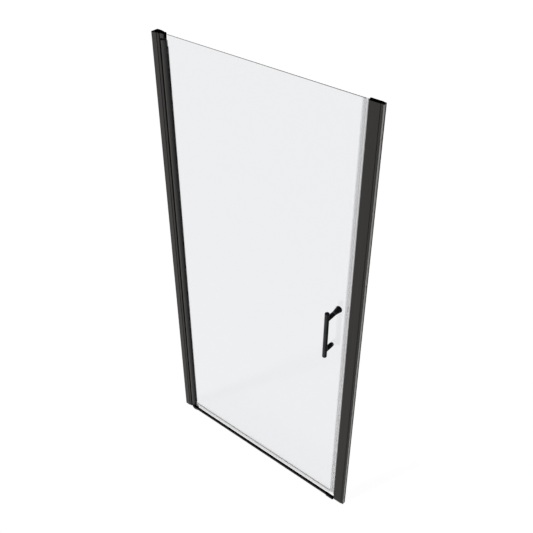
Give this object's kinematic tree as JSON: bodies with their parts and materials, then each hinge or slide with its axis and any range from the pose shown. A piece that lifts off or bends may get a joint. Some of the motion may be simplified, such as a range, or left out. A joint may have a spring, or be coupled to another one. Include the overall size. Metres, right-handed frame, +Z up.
{
  "type": "shower door",
  "caption": "Framed pivot shower door: clear glass leaf on a round stile between black wall profiles, with magnetic strike post, threshold bar, clear seals and bar handle.",
  "frame": {"origin": "on the face that lies on the hinge wall, on the glass line, at the level of the shower tray", "axes": "+X along the opening to the strike wall, +Y from the room into the shower, +Z up"},
  "size_m": [1.004, 0.0951, 2],
  "materials": {
    "black_profile": "satin",
    "black_casting": "satin",
    "black_moulding": "satin",
    "black_handle": "satin",
    "black_screw": "satin",
    "plain_steel": "satin",
    "black_nylon": "matte",
    "black_rubber": "matte",
    "magnet_strip": "matte",
    "pale_magnet": "matte",
    "clear_glass": "polished",
    "clear_seal": "gloss",
    "clear_nylon": "gloss"
  },
  "bodies": {
    "frame": {"hinge_wall_channel": "black_profile", "hinge_post": "black_profile", "hinge_post_screws": "plain_steel", "hinge_screw_covers": "black_moulding", "hinge_top_cap": "black_moulding", "hinge_wiper_strips": "black_rubber", "upper_pivot_block": "black_casting", "upper_pivot_pin": "plain_steel", "lower_pivot_block": "black_casting", "lower_pivot_pin": "plain_steel", "pivot_block_screws": "black_screw", "threshold_bar": "black_profile", "strike_end_block": "black_moulding", "strike_wall_channel": "black_profile", "strike_post": "black_profile", "strike_post_screws": "plain_steel", "strike_screw_covers": "black_moulding", "strike_top_cap": "black_moulding", "strike_magnet": "magnet_strip"},
    "door": {"pivot_stile": "black_profile", "stile_upper_plug": "black_nylon", "stile_lower_plug": "black_nylon", "stile_plug_screws": "black_screw", "upper_pivot_bush": "black_nylon", "lower_pivot_bush": "black_nylon", "glazing_gasket": "black_rubber", "door_glass": "clear_glass", "strike_seal": "clear_seal", "door_magnet": "pale_magnet", "bottom_seal": "clear_seal", "handle_bar": "black_handle", "handle_upper_post": "black_handle", "handle_lower_post": "black_handle", "handle_bar_studs": "plain_steel", "inner_knob": "black_handle", "upper_handle_stud": "plain_steel", "lower_handle_screw": "black_screw", "handle_washers": "clear_nylon", "handle_sleeves": "clear_nylon"}
  },
  "joints": [
    {"name": "door_swing", "type": "hinge", "parent": "frame", "child": "door", "pos_m": [0.0489, 0, 1], "axis": [0, 0, -1], "range_deg": [0, 105]}
  ]
}
